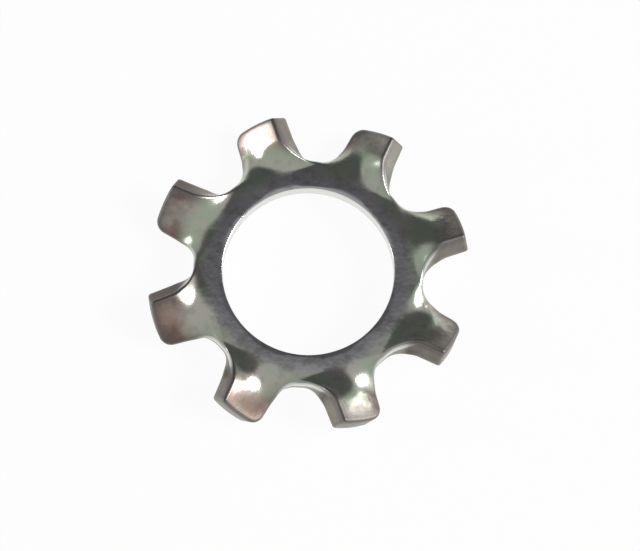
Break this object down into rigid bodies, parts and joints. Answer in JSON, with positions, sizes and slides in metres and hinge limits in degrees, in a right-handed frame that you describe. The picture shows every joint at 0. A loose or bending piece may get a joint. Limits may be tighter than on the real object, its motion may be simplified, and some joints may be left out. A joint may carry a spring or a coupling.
{
  "type": "external-tooth lock washer",
  "caption": "Thin flat spring-steel ring with twisted teeth around its outside that bite into a screw head or nut and the part below it.",
  "frame": {"origin": "on the bore's axis, in the plane that the lowest corners of the teeth stand on", "axes": "+Z along the bore's axis, away from the surface the washer lies on; +X out through the middle of a gap between two teeth"},
  "size_m": [0.0098, 0.0098, 0.0015],
  "materials": {
    "zinc_plated_steel": "bright zinc plate, smooth, with a faint iridescent passivation"
  },
  "bodies": {
    "root": {"lock_washer": "zinc_plated_steel"}
  },
  "joints": []
}
